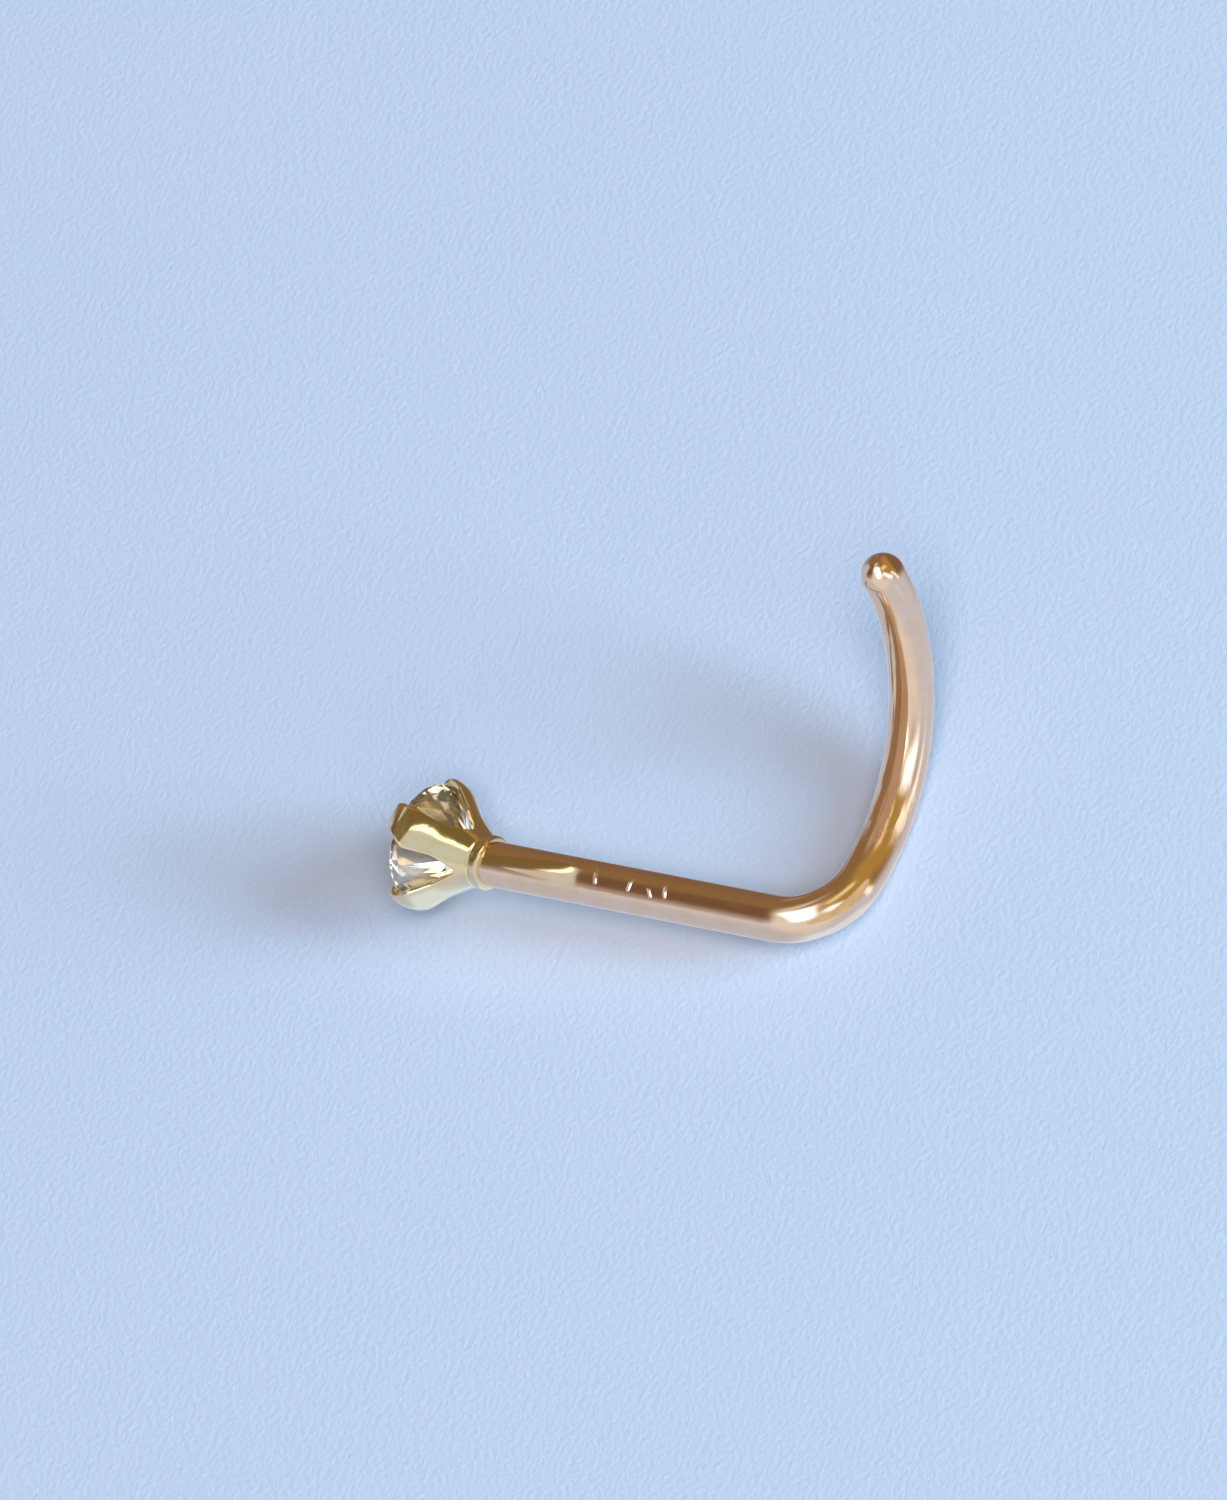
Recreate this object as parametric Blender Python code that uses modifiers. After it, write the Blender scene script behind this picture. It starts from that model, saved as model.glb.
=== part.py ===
"""A nostril stud: a gold wire with a four-prong tulip setting on it, and one round brilliant.

The stud is drawn in its own frame, then laid on the floor in the pose in which it comes to rest.
Own frame: +X along the post from the setting to the bend, +Y the way the hook sets off, and +Z
the way it curls. The setting has a frame of its own, with +Z from its back towards the stone.
"""

import math

import bmesh
import bpy
from mathutils import Matrix, Vector

MM = 0.001

# Wire: a straight post, a quarter bend, then an open arc that ends in a dome.
WIRE_RADIUS = 0.405 * MM
TIP_RADIUS = 0.390 * MM
POST_LENGTH = 5.92 * MM
BEND_RADIUS = 1.13 * MM
BEND_DEG = 90.0
HOOK_LENGTH = 6.04 * MM
HOOK_ARC_RADIUS = 3.58 * MM
HOOK_LEAN = 0.09 * MM
WIRE_START = -0.20 * MM
WIRE_BEVEL_STEPS = 3
POST_STEPS = 8
BEND_STEPS = 9
HOOK_STEPS = 26
DOME_TURNS_DEG = (15, 30, 45, 58, 70, 80)

# Setting: a turned cup on a collar, cut by four windows into four prongs.
COLLAR_RADIUS = 0.49 * MM
COLLAR_HEIGHT = 0.20 * MM
COLLAR_CHAMFER = 0.02 * MM
GROOVE_RADIUS = 0.445 * MM
BASE_TOP = 0.36 * MM
GIRDLE_HEIGHT = 1.44 * MM
CUP_WALL = 0.20 * MM
FLOOR_SHARE = 0.8
# height over the collar's back, and outer radius, in millimetres
CUP_OUTLINE = (
    ("foot", 0.24, 0.475),
    ("swell", 0.44, 0.585),
    ("belly", 0.76, 0.79),
    ("flare", 1.06, 1.05),
    ("hip", 1.19, 1.15),
    ("girdle", 1.33, 1.20),
    ("shoulder", 1.47, 1.18),
    ("lip", 1.55, 1.11),
)
# the prongs' places round the cup, as they were filed, a little uneven
PRONG_TURNS_DEG = (-21.8, 68.2, 158.2, 242.7)
CUP_SEGMENTS = 64

# Windows between the prongs: height over the collar's back, and half width, in millimetres.
WINDOW_OUTLINE = (
    ("root", 0.41, 0.0),
    ("root_side", 0.44, 0.08),
    ("root_shoulder", 0.50, 0.13),
    ("root_end", 0.60, 0.19),
    ("middle", 0.80, 0.32),
    ("upper", 1.05, 0.43),
    ("rim", 1.45, 0.58),
    ("above", 2.20, 0.68),
)
WINDOW_START = 0.06 * MM
WINDOW_REACH = 1.6 * MM

# Claws: the rounded prong tips that fold over the stone's crown.
CLAW_CENTRE_RADIUS = 1.05 * MM
CLAW_HEIGHT = 1.51 * MM
CLAW_HALF_WIDTH = 0.27 * MM
CLAW_HALF_DEPTH = 0.16 * MM
CLAW_HALF_HEIGHT = 0.20 * MM
CLAW_LEAN_DEG = -30.0
CLAW_SEGMENTS = 16
CLAW_RINGS = 10

# Stone: a round brilliant.
STONE_RADIUS = 1.06 * MM
TABLE_SHARE = 0.57
CROWN_MAIN_DEG = 34.5
CROWN_STAR_DEG = 21.5
CROWN_GIRDLE_DEG = 41.5
PAVILION_MAIN_DEG = 40.8
PAVILION_GIRDLE_DEG = 42.2
GIRDLE_THICKNESS = 0.06 * MM
STONE_GAP = 0.015 * MM
MAIN_FACETS = 8
GIRDLE_SIDES = 48
# the stone is ground at this many times its size, where the cuts stay exact
GRINDING_SCALE = 1000.0

WELD_DISTANCE = 0.001 * MM
SHARP_ANGLE_DEG = 30.0

# How the setting sits on the wire: soldered a little askew.
ASKEW_SIDE_DEG = -6.1
ASKEW_LIFT_DEG = 1.95

# Resting pose: the roll about the post and the pitch of the post, worked out from the weight.
REST_ROLL_DEG = -16.87
REST_PITCH_DEG = 2.33


def clear_scene():
    for old in list(bpy.data.objects):
        bpy.data.objects.remove(old, do_unlink=True)


def make_collection(name):
    collection = bpy.data.collections.new(name)
    bpy.context.scene.collection.children.link(collection)
    return collection


def make_material(name, colour, metallic, roughness, transmission=0.0, ior=1.45):
    material = bpy.data.materials.new(name)
    material.use_nodes = True
    shader = material.node_tree.nodes["Principled BSDF"]
    shader.inputs["Base Color"].default_value = (*colour, 1.0)
    shader.inputs["Metallic"].default_value = metallic
    shader.inputs["Roughness"].default_value = roughness
    shader.inputs["Transmission Weight"].default_value = transmission
    shader.inputs["IOR"].default_value = ior
    material.diffuse_color = (*colour, 1.0)
    return material


def object_from_bmesh(name, shape, collection):
    mesh = bpy.data.meshes.new(name)
    bmesh.ops.recalc_face_normals(shape, faces=shape.faces)
    shape.to_mesh(mesh)
    shape.free()
    made = bpy.data.objects.new(name, mesh)
    collection.objects.link(made)
    return made


def mesh_from_curve(curve_object, name, collection):
    """The curve's solid as a mesh object, with its loose end caps welded on."""
    bpy.context.view_layer.update()
    graph = bpy.context.evaluated_depsgraph_get()
    mesh = bpy.data.meshes.new_from_object(curve_object.evaluated_get(graph))
    shape = bmesh.new()
    shape.from_mesh(mesh)
    bmesh.ops.remove_doubles(shape, verts=shape.verts, dist=WELD_DISTANCE)
    bmesh.ops.recalc_face_normals(shape, faces=shape.faces)
    shape.to_mesh(mesh)
    shape.free()
    mesh.name = name
    made = bpy.data.objects.new(name, mesh)
    made.matrix_world = curve_object.matrix_world.copy()
    collection.objects.link(made)
    bpy.data.objects.remove(curve_object, do_unlink=True)
    return made


def wire_path():
    """Centre line and radius along the wire: post, bend, hook and domed end."""
    points = []
    for step in range(POST_STEPS):
        along = WIRE_START + (POST_LENGTH - WIRE_START) * step / POST_STEPS
        points.append((Vector((along, 0, 0)), WIRE_RADIUS))

    bend = math.radians(BEND_DEG)
    for step in range(BEND_STEPS):
        turn = bend * step / BEND_STEPS
        along = POST_LENGTH + BEND_RADIUS * math.sin(turn)
        out = BEND_RADIUS * (1 - math.cos(turn))
        points.append((Vector((along, out, 0)), WIRE_RADIUS))

    start = Vector(
        (
            POST_LENGTH + BEND_RADIUS * math.sin(bend),
            BEND_RADIUS * (1 - math.cos(bend)),
            0,
        )
    )
    away = Vector((math.cos(bend), math.sin(bend), 0))
    up = Vector((0, 0, 1))
    arc = HOOK_LENGTH / HOOK_ARC_RADIUS
    for step in range(HOOK_STEPS + 1):
        share = step / HOOK_STEPS
        turn = arc * share
        centre = (
            start
            + away * (HOOK_ARC_RADIUS * math.sin(turn))
            + up * (HOOK_ARC_RADIUS * (1 - math.cos(turn)))
            - Vector((HOOK_LEAN * share**2, 0, 0))
        )
        points.append((centre, WIRE_RADIUS + (TIP_RADIUS - WIRE_RADIUS) * share))

    end = points[-1][0]
    leaning = Vector((2 * HOOK_LEAN / HOOK_LENGTH, 0, 0))
    heading = (away * math.cos(arc) + up * math.sin(arc) - leaning).normalized()
    for degrees in DOME_TURNS_DEG:
        turn = math.radians(degrees)
        centre = end + heading * (TIP_RADIUS * math.sin(turn))
        points.append((centre, TIP_RADIUS * math.cos(turn)))
    return points


def make_wire(collection):
    curve = bpy.data.curves.new("wire_line", "CURVE")
    curve.dimensions = "3D"
    curve.bevel_depth = WIRE_RADIUS
    curve.bevel_resolution = WIRE_BEVEL_STEPS
    curve.use_fill_caps = True
    points = wire_path()
    spline = curve.splines.new("POLY")
    spline.points.add(len(points) - 1)
    for point, (centre, radius) in zip(spline.points, points):
        point.co = (*centre, 1.0)
        point.radius = radius / WIRE_RADIUS
    line = bpy.data.objects.new("wire_line", curve)
    collection.objects.link(line)
    return mesh_from_curve(line, "wire", collection)


def cup_profile():
    """Closed section of the cup: down the outside, over the back, and up the inside."""
    outside = [(radius * MM, height * MM) for _, height, radius in CUP_OUTLINE]
    inside = [
        (radius * MM - CUP_WALL, height * MM)
        for _, height, radius in CUP_OUTLINE
        if height * MM > BASE_TOP
    ]
    section = list(reversed(outside))
    section.append((GROOVE_RADIUS, COLLAR_HEIGHT))
    section.append((COLLAR_RADIUS, COLLAR_HEIGHT - COLLAR_CHAMFER))
    section.append((COLLAR_RADIUS, COLLAR_CHAMFER))
    section.append((COLLAR_RADIUS - COLLAR_CHAMFER, 0.0))
    section.append((0.0, 0.0))
    section.append((0.0, BASE_TOP))
    section.append((inside[0][0] * FLOOR_SHARE, BASE_TOP))
    section.extend(inside)
    return section


def make_cup(collection):
    """The setting's cup, turned from its section with a Screw modifier."""
    section = cup_profile()
    shape = bmesh.new()
    corners = [shape.verts.new((radius, 0, height)) for radius, height in section]
    for first, second in zip(corners, corners[1:]):
        shape.edges.new((first, second))
    shape.edges.new((corners[-1], corners[0]))
    mesh = bpy.data.meshes.new("cup_section")
    shape.to_mesh(mesh)
    shape.free()
    cup = bpy.data.objects.new("cup_turned", mesh)
    collection.objects.link(cup)
    turned = cup.modifiers.new("turned", "SCREW")
    turned.axis = "Z"
    turned.angle = math.tau
    turned.steps = CUP_SEGMENTS
    turned.render_steps = CUP_SEGMENTS
    turned.use_merge_vertices = True
    turned.merge_threshold = WELD_DISTANCE
    bpy.context.view_layer.update()
    graph = bpy.context.evaluated_depsgraph_get()
    solid = bpy.data.meshes.new_from_object(cup.evaluated_get(graph))
    shape = bmesh.new()
    shape.from_mesh(solid)
    bmesh.ops.remove_doubles(shape, verts=shape.verts, dist=WELD_DISTANCE)
    bpy.data.objects.remove(cup, do_unlink=True)
    return shape


def prong_angle(index):
    return math.radians(PRONG_TURNS_DEG[index])


def window_span(index):
    """The middle of the window after a prong, and how wide it is against an even quarter."""
    turns = (*PRONG_TURNS_DEG, PRONG_TURNS_DEG[0] + 360)
    first, second = turns[index], turns[index + 1]
    return math.radians((first + second) / 2), (second - first) / 90


def make_window_cutter(index, collection):
    """A flared slot with a round root, extruded outwards from the cup's axis."""
    shape = bmesh.new()
    turn, share = window_span(index)
    left = [(-half * share * MM, height * MM) for _, height, half in reversed(WINDOW_OUTLINE)]
    right = [(half * share * MM, height * MM) for _, height, half in WINDOW_OUTLINE[1:]]
    outline = [shape.verts.new((WINDOW_START, side, height)) for side, height in left + right]
    face = shape.faces.new(outline)
    grown = bmesh.ops.extrude_face_region(shape, geom=[face])
    moved = [item for item in grown["geom"] if isinstance(item, bmesh.types.BMVert)]
    bmesh.ops.translate(shape, verts=moved, vec=(WINDOW_REACH, 0, 0))
    bmesh.ops.transform(shape, matrix=Matrix.Rotation(turn, 4, "Z"), verts=shape.verts)
    return object_from_bmesh(f"window_cutter_{index}", shape, collection)


def make_claw(index, collection):
    """An ellipsoid at a prong's tip, leaning over the crown."""
    shape = bmesh.new()
    bmesh.ops.create_uvsphere(shape, u_segments=CLAW_SEGMENTS, v_segments=CLAW_RINGS, radius=1.0)
    size = Matrix.Diagonal((CLAW_HALF_DEPTH, CLAW_HALF_WIDTH, CLAW_HALF_HEIGHT, 1.0))
    lean = Matrix.Rotation(math.radians(CLAW_LEAN_DEG), 4, "Y")
    out = Matrix.Translation((CLAW_CENTRE_RADIUS, 0, CLAW_HEIGHT))
    turn = Matrix.Rotation(prong_angle(index), 4, "Z")
    bmesh.ops.transform(shape, matrix=turn @ out @ lean @ size, verts=shape.verts)
    return object_from_bmesh(f"claw_{index}", shape, collection)


def cut_facets(shape, count, tilt_deg, distance, shift, sign):
    """Grinds one row of facets: planes that lean from the axis, each cutting away its outside."""
    tilt = math.radians(tilt_deg)
    for step in range(count):
        turn = math.tau * (step + shift) / count
        normal = Vector(
            (
                math.sin(tilt) * math.cos(turn),
                math.sin(tilt) * math.sin(turn),
                sign * math.cos(tilt),
            )
        )
        everything = shape.verts[:] + shape.edges[:] + shape.faces[:]
        cut = bmesh.ops.bisect_plane(
            shape,
            geom=everything,
            dist=1e-9,
            plane_co=normal * distance,
            plane_no=normal,
            clear_outer=True,
        )
        edges = [item for item in cut["geom_cut"] if isinstance(item, bmesh.types.BMEdge)]
        if edges:
            bmesh.ops.holes_fill(shape, edges=edges, sides=0)


def brilliant(radius, grow=0.0):
    """A round brilliant about its girdle plane, or its shape grown by a gap on every side."""
    size = radius * GRINDING_SCALE
    gap = grow * GRINDING_SCALE
    half_girdle = GIRDLE_THICKNESS * GRINDING_SCALE / 2
    table = size * TABLE_SHARE
    crown_main = math.radians(CROWN_MAIN_DEG)
    pavilion_main = math.radians(PAVILION_MAIN_DEG)
    crown_height = (size - table) * math.tan(crown_main)

    shape = bmesh.new()
    bmesh.ops.create_cone(
        shape,
        cap_ends=True,
        cap_tris=False,
        segments=GIRDLE_SIDES,
        radius1=size + gap,
        radius2=size + gap,
        depth=4 * size,
    )
    # crown mains, stars and upper girdle facets, each set by the height where it meets its edge
    main = size * math.sin(crown_main) + half_girdle * math.cos(crown_main)
    cut_facets(shape, MAIN_FACETS, CROWN_MAIN_DEG, main + gap, 0.0, 1)
    upper = math.radians(CROWN_GIRDLE_DEG)
    reach = size * math.cos(math.pi / (2 * MAIN_FACETS))
    cut_facets(
        shape,
        2 * MAIN_FACETS,
        CROWN_GIRDLE_DEG,
        reach * math.sin(upper) + half_girdle * math.cos(upper) + gap,
        0.5,
        1,
    )
    star = math.radians(CROWN_STAR_DEG)
    top = half_girdle + crown_height
    star_reach = table * math.cos(math.pi / MAIN_FACETS)
    cut_facets(
        shape,
        MAIN_FACETS,
        CROWN_STAR_DEG,
        star_reach * math.sin(star) + top * math.cos(star) + gap,
        0.5,
        1,
    )
    cut_facets(shape, 1, 0.0, top + gap, 0.0, 1)
    # pavilion mains and lower girdle facets
    main = size * math.sin(pavilion_main) + half_girdle * math.cos(pavilion_main)
    cut_facets(shape, MAIN_FACETS, PAVILION_MAIN_DEG, main + gap, 0.0, -1)
    lower = math.radians(PAVILION_GIRDLE_DEG)
    cut_facets(
        shape,
        2 * MAIN_FACETS,
        PAVILION_GIRDLE_DEG,
        reach * math.sin(lower) + half_girdle * math.cos(lower) + gap,
        0.5,
        -1,
    )
    bmesh.ops.remove_doubles(shape, verts=shape.verts, dist=WELD_DISTANCE * GRINDING_SCALE / 100)
    bmesh.ops.scale(shape, vec=(1 / GRINDING_SCALE,) * 3, verts=shape.verts)
    return shape


def setting_matrix():
    """From the setting's frame to the stud's own: its +Z lies along -X, a little askew."""
    onto_post = Matrix.Rotation(math.radians(-90), 4, "Y")
    side = Matrix.Rotation(math.radians(ASKEW_SIDE_DEG), 4, "Z")
    lift = Matrix.Rotation(math.radians(ASKEW_LIFT_DEG), 4, "Y")
    return side @ lift @ onto_post


def add_boolean(target, name, operation, other):
    step = target.modifiers.new(name, "BOOLEAN")
    step.operation = operation
    step.solver = "EXACT"
    step.object = other
    return step


def hide_helper(helper):
    helper.hide_render = True
    helper.display_type = "WIRE"


def stand_on_floor(holder, pieces):
    """Moves the holder so that the pieces' box stands on the origin by its bottom centre."""
    bpy.context.view_layer.update()
    graph = bpy.context.evaluated_depsgraph_get()
    low = Vector((math.inf,) * 3)
    high = Vector((-math.inf,) * 3)
    for piece in pieces:
        evaluated = piece.evaluated_get(graph)
        mesh = evaluated.to_mesh()
        for vertex in mesh.vertices:
            place = evaluated.matrix_world @ vertex.co
            low = Vector(map(min, low, place))
            high = Vector(map(max, high, place))
        evaluated.to_mesh_clear()
    middle = (low + high) / 2
    holder.location -= Vector((middle.x, middle.y, low.z))


def shade(piece, angle_deg):
    mesh = piece.data
    mesh.shade_smooth()
    mesh.set_sharp_from_angle(angle=math.radians(angle_deg))


def main():
    clear_scene()
    stud = make_collection("nostril_stud")
    helpers = make_collection("stud_helpers")

    gold = make_material("gold", (0.95, 0.68, 0.43), 1.0, 0.12)
    clear = make_material("clear_stone", (0.95, 0.97, 1.0), 0.0, 0.0, 1.0, 2.16)

    place = setting_matrix()
    cup = object_from_bmesh("gold_stud", make_cup(helpers), stud)
    cup.data.transform(place)
    cup.data.materials.append(gold)

    for index in range(len(PRONG_TURNS_DEG)):
        window = make_window_cutter(index, helpers)
        window.data.transform(place)
        hide_helper(window)
        add_boolean(cup, f"window_{index}", "DIFFERENCE", window)
    for index in range(len(PRONG_TURNS_DEG)):
        claw = make_claw(index, helpers)
        claw.data.transform(place)
        hide_helper(claw)
        add_boolean(cup, f"claw_{index}", "UNION", claw)
    wire = make_wire(helpers)
    hide_helper(wire)
    add_boolean(cup, "wire", "UNION", wire)

    seated = place @ Matrix.Translation((0, 0, GIRDLE_HEIGHT))
    seat = object_from_bmesh("seat_cutter", brilliant(STONE_RADIUS, STONE_GAP), helpers)
    seat.data.transform(seated)
    hide_helper(seat)
    add_boolean(cup, "seat", "DIFFERENCE", seat)

    stone = object_from_bmesh("stone", brilliant(STONE_RADIUS), stud)
    stone.data.transform(seated)
    stone.data.materials.append(clear)

    holder = bpy.data.objects.new("rest_pose", None)
    stud.objects.link(holder)
    for child in [*stud.objects, *helpers.objects]:
        if child is not holder:
            child.parent = holder
    roll = Matrix.Rotation(math.radians(REST_ROLL_DEG), 4, "X")
    pitch = Matrix.Rotation(math.radians(REST_PITCH_DEG), 4, "Y")
    holder.rotation_euler = (pitch @ roll).to_euler()
    stand_on_floor(holder, (cup, stone))

    shade(cup, SHARP_ANGLE_DEG)


main()
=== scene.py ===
"""Looks of a gold nostril stud: polished wire, a four-prong tulip setting and a clear brilliant.

The wire and the setting are finer copies of the CAD solid gold_stud, drawn in the stud's own
frame (+X along the post from the setting to the bend, +Y the way the hook sets off, +Z the way
it curls) and laid in the same resting place. The stone is the CAD stone with a clear material.
"""

import math

import bpy
import numpy as np
from mathutils import Matrix, Vector


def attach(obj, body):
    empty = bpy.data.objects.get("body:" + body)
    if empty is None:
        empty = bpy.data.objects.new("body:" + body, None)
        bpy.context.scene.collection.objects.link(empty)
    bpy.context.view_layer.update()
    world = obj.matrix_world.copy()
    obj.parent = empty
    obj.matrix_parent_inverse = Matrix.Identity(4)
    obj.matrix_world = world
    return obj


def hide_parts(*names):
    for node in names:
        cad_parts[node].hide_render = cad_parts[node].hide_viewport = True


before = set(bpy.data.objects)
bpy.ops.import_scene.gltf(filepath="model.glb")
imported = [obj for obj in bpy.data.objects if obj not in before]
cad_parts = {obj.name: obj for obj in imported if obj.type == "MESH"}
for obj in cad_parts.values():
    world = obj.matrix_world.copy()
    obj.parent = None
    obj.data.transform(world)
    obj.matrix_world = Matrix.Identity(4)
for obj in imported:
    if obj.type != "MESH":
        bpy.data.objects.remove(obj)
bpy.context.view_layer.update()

MM = 0.001

# Where the stud lies: roll and pitch of its own frame, then a shift in millimetres.
REST_ROLL_DEG = -16.87
REST_PITCH_DEG = 2.33
REST_SHIFT = (-2.8011, -2.4865, 1.1535)

# Wire, in millimetres.
WIRE_RADIUS = 0.405
TIP_RADIUS = 0.390
WIRE_START = -0.20
POST_LENGTH = 5.92
BEND_RADIUS = 1.13
HOOK_LENGTH = 6.04
HOOK_ARC_RADIUS = 3.58
HOOK_LEAN = 0.09
WIRE_SIDES = 72
POST_STEPS = 90
BEND_STEPS = 60
HOOK_STEPS = 170
DOME_STEPS = 26

# Setting, in millimetres, in its own frame with +Z from its back towards the stone.
ASKEW_SIDE_DEG = -6.1
ASKEW_LIFT_DEG = 1.95
PRONG_TURNS_DEG = (-21.8, 68.2, 158.2, 242.7)
# base of the setting: height and radius, from the middle of its back to the foot of the cup
BASE_OUTLINE = (
    ("back_centre", 0.0, 0.0),
    ("back_middle", 0.0, 0.25),
    ("back_edge", 0.0, 0.455),
    ("collar_low", 0.012, 0.480),
    ("collar_side_low", 0.04, 0.490),
    ("collar_side_high", 0.150, 0.490),
    ("collar_high", 0.178, 0.482),
    ("groove_low", 0.196, 0.455),
    ("groove", 0.212, 0.447),
    ("groove_high", 0.226, 0.457),
    ("foot", 0.245, 0.477),
)
# prongs: outer height and radius, inner height and radius, from the window's root to the tip
PRONG_OUTLINE = (
    ("root", 0.410, 0.567, 0.400, 0.330),
    ("swell", 0.520, 0.632, 0.500, 0.425),
    ("belly", 0.760, 0.790, 0.760, 0.605),
    ("flare", 0.930, 0.930, 0.940, 0.745),
    ("flare_high", 1.060, 1.045, 1.080, 0.865),
    ("hip", 1.190, 1.145, 1.200, 0.955),
    ("seat_low", 1.330, 1.198, 1.330, 1.025),
    ("girdle", 1.450, 1.205, 1.420, 1.078),
    ("shoulder", 1.560, 1.178, 1.478, 1.076),
    ("knuckle", 1.608, 1.115, 1.520, 1.022),
    ("top", 1.640, 1.030, 1.555, 0.957),
    ("fold", 1.648, 0.950, 1.580, 0.910),
    ("tip", 1.635, 0.890, 1.600, 0.884),
)
# heights where a prong starts to narrow to its claw, and where the claw's round end starts
CLAW_START_HEIGHT = 1.2
TIP_START_HEIGHT = 1.53
# how much closer the rows of a prong are near its root
ROW_CROWDING = 1.15
PRONG_LINE_STEPS = 12
# windows between the prongs: height and half width
WINDOW_OUTLINE = (
    ("root", 0.410, 0.0),
    ("root_low", 0.416, 0.040),
    ("root_side", 0.440, 0.080),
    ("root_shoulder", 0.500, 0.130),
    ("root_end", 0.600, 0.195),
    ("middle", 0.800, 0.320),
    ("upper", 1.050, 0.430),
    ("rim", 1.450, 0.580),
    ("above", 1.800, 0.700),
)
# the window that follows each prong: how much wider than the outline it is at its edges on the
# two prongs beside it
WINDOW_BREADTHS = (
    ("upper", 1.30, 1.36),
    ("back", 1.0, 1.0),
    ("under", 1.0, 1.0),
    ("front", 1.0, 1.0),
)
# claws: how far each tip sits to the side of its prong, and its half width, in millimetres
CLAWS = (
    ("left", 0.06, 0.25),
    ("top", 0.08, 0.27),
    ("back", 0.0, 0.30),
    ("bottom", 0.0, 0.30),
)
# below the windows: the cup's side on its way to them, and the bowl inside it
CUP_SIDE = (0.33, 0.522)
CUP_SIDE_STEPS = 6
BOWL_OUTLINE = (
    ("floor_centre", 0.36, 0.0),
    ("floor_edge", 0.36, 0.22),
    ("side", 0.37, 0.29),
)
# the round of the prongs' edges, and how finely they and the prongs are drawn
EDGE_ROUND = 0.055
EDGE_STEPS = 4
PRONG_COLUMNS = 24
PRONG_ROWS = 44
TIP_ROWS = 12

# View of the photograph, in the stud's own frame: the camera's turn and rise, and its roll.
VIEW_TURN_DEG = 33.0
VIEW_RISE_DEG = 52.0
VIEW_ROLL_DEG = 10.66
PHOTO_PX_PER_MM = 57.3
PHOTO_ORIGIN_PX = (493.0, 864.0)
PHOTO_SIZE_PX = (1227, 1500)
CAMERA_DISTANCE = 260.0
CAMERA_CLIP = (10.0, 5000.0)
SENSOR_WIDTH = 36.0

# the wire's gold and the cast setting's, which is yellower: two tones of each
WIRE_COLOURS = ((0.95, 0.68, 0.43), (0.93, 0.64, 0.38))
SETTING_COLOURS = ((0.89, 0.705, 0.40), (0.85, 0.655, 0.34))
# painted shade on the cup's inside, which the stone shows: a darker, deeper gold
CUP_INSIDE_PAINTED_SHADE = (0.78, 0.52, 0.17)
GOLD_ROUGHNESS = 0.08
GOLD_ROUGHNESS_RANGE = 0.08
SCRATCH_ROUGHNESS = 0.05
# heights in millimetres of the gold's slow unevenness, its scratches and its scuffed spots
GOLD_SWELL = 0.006
GOLD_SCRATCH = 0.0006
GOLD_SCUFF = 0.014
# the grain of the scuffs and scratches, per millimetre: along the wire, then across it twice, and
# for the setting across its axis twice, then along it
PIT_STRETCH = (1.3, 9.0, 9.0)
WIRE_STRETCH = (1.2, 14.0, 14.0)
SETTING_STRETCH = (7.0, 7.0, 2.0)
# the unevenness and the blotches per millimetre, and the noise values between which blotches and
# scratches rise from none to full
SWELL_SCALE = 1.3
BLOTCH_SCALE = 2.6
BLOTCH_STEP = (0.35, 0.70)
SCRATCH_STEP = (0.56, 0.72)
# scuffed spots of the wire: middle and half length along it in millimetres, and their strength
WIRE_SCUFFS = (
    ("post", 2.75, 1.1, 0.25),
    ("hook", 9.0, 1.1, 1.0),
)
# plain nicks on the post: place along it in millimetres, turn and half length in degrees, slant
WIRE_NICKS = (
    ("first", 2.38, 16.0, 24.0, 0.10),
    ("second", 3.12, 22.0, 20.0, -0.05),
    ("third", 3.55, 34.0, 12.0, 0.22),
    ("fourth", 3.85, 20.0, 22.0, 0.08),
)
# how far a nick reaches to each side of its line, and its depth, in millimetres
NICK_WIDTH = 0.045
NICK_DEPTH = 0.010
# share of a scuff's or a nick's half length that keeps its whole strength
SCUFF_CORE = 0.3
NICK_CORE = 0.7
STONE_COLOUR = (0.99, 0.99, 0.97)
STONE_FILM_COLOUR = (0.96, 0.97, 0.93)
# a painted reflection of the gold, which warms the stone's upper side
STONE_PAINTED_GOLD_REFLECTION = (0.94, 0.78, 0.48)
STONE_WEAR = 0.015
STONE_IOR = 2.16
# the worn film's grain per metre, and the noise values between which it rises from none to full
STONE_FILM_SCALE = 2200.0
STONE_FILM_STEP = (0.45, 0.75)
# share of light the stone lets through, and how much less its hazy lower side does: the haze is
# painted light, paling that side
STONE_CLEARNESS = 0.96
STONE_HAZE = 0.16
# share of that haze that is even, where the rest comes in patches
STONE_HAZE_EVEN_SHARE = 0.6
# the stone's middle, and the heights over it, in the image, between which the upper side passes
# into the lower one, in millimetres
STONE_MIDDLE = (-1.3, 0.0, 0.0)
STONE_BAND = (0.15, -0.25)
FLOOR_COLOUR = (0.535, 0.680, 0.925)
FLOOR_SECOND_COLOUR = (0.567, 0.711, 0.950)
FLOOR_HALF_SIZE = 500.0
# the floor's cloudiness and grain per metre, the cloudiness's share of its colour, and the
# grain's height in millimetres
FLOOR_CLOUD_SCALE = 140.0
FLOOR_GRAIN_SCALE = 9000.0
FLOOR_CLOUD_SHARE = 0.6
FLOOR_GRAIN_HEIGHT = 0.01
FLOOR_ROUGHNESS = 0.9
FLOOR_SPECULAR = 0.1
# painted light: a pale glow of light off the gold, painted into the floor's colour below the post
# the gold's glow on the floor: its middle and the ends of its two half axes in the photograph
FLOOR_GLOW_PX = ((590.0, 952.0), (900.0, 1012.0), (575.0, 1022.0))
PAINTED_FLOOR_GLOW_COLOUR = (0.670, 0.775, 0.985)
# how strong it is, and the share of the oval where it has its whole strength
FLOOR_GLOW = 0.5
FLOOR_GLOW_CORE = 0.1


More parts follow.
